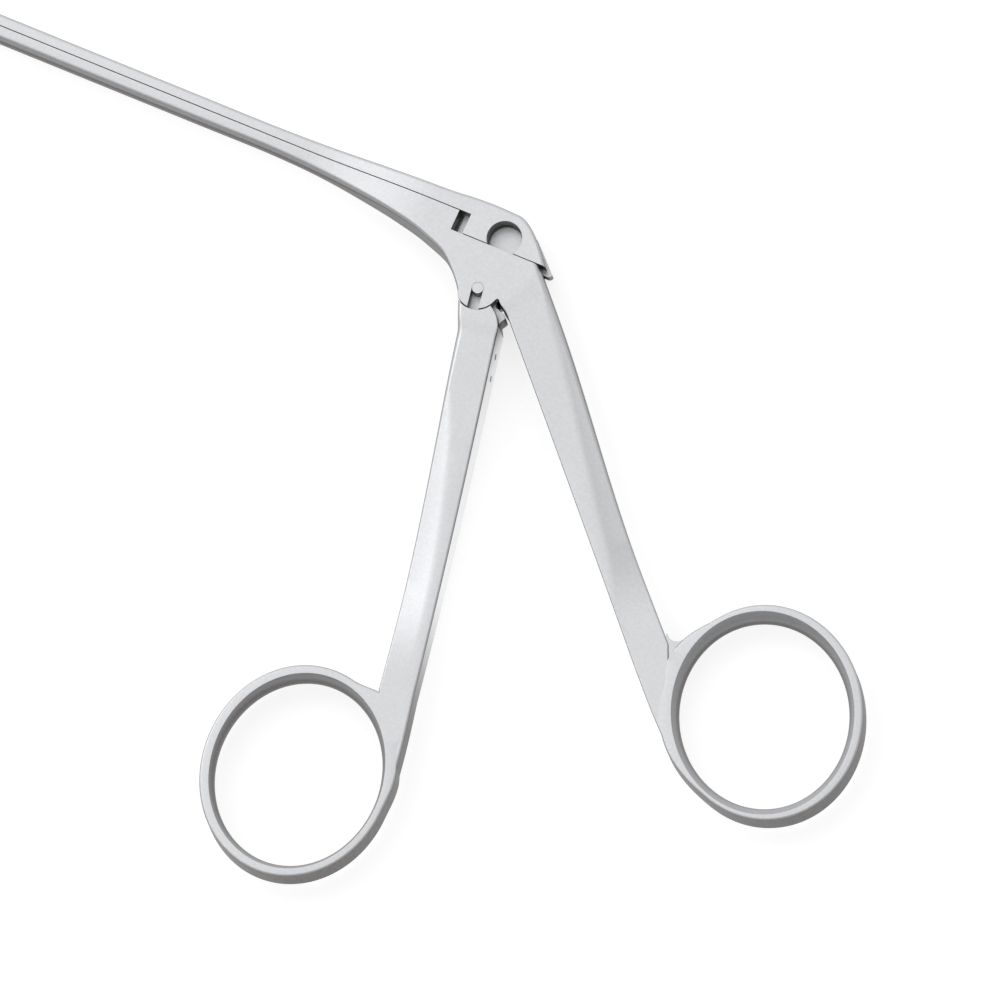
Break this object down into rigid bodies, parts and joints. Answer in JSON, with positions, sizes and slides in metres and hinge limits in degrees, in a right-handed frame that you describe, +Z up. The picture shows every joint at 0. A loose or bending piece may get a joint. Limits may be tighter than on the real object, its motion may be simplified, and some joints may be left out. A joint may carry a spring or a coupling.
{
  "type": "specimen forceps",
  "caption": "Ring-handled specimen forceps: a long slim shaft whose upper half slides to shut an opening cup jaw as the front handle is squeezed towards the rear one.",
  "frame": {"origin": "on the joint block's flat underside, straight above the handle pivot", "axes": "+X back along the shaft, away from the jaws; +Y in the plane of the handles, away from them; +Z up through the instrument's thickness as it lies on its side"},
  "size_m": [0.1886, 0.0964, 0.006],
  "materials": {
    "body_steel": "satin bead-blasted stainless steel",
    "slider_steel": "satin bead-blasted stainless steel",
    "handle_steel": "satin bead-blasted stainless steel",
    "jaw_steel": "satin stainless steel, finer on the cup's lip",
    "pin_steel": "fine-ground stainless steel pin ends"
  },
  "bodies": {
    "root": {"fixed_body": "body_steel", "jaw_pivot_pin": "pin_steel"},
    "front_handle": {"front_handle": "handle_steel", "handle_pivot_pin": "pin_steel"},
    "slider": {"slider": "slider_steel", "jaw_link_pin": "pin_steel"},
    "upper_jaw": {"upper_jaw": "jaw_steel"}
  },
  "joints": [
    {"name": "handle_hinge", "type": "hinge", "parent": "root", "child": "front_handle", "pos_m": [0, -0.0034, 0.003], "axis": [0, 0, 1], "range_deg": [0, 10.5]},
    {"name": "slider_slide", "type": "slide", "parent": "root", "child": "slider", "axis": [-1, 0, 0], "range_m": [0, 0.00134]},
    {"name": "jaw_hinge", "type": "hinge", "parent": "root", "child": "upper_jaw", "pos_m": [-0.1085, 0.0042, 0.003], "axis": [0, 0, 1], "range_deg": [0, 44.8]}
  ],
  "couplings": [
    {"joint": "slider_slide", "follows": "handle_hinge", "m_per_rad": 0.0072711},
    {"joint": "jaw_hinge", "follows": "handle_hinge", "ratio": 4.2623}
  ]
}
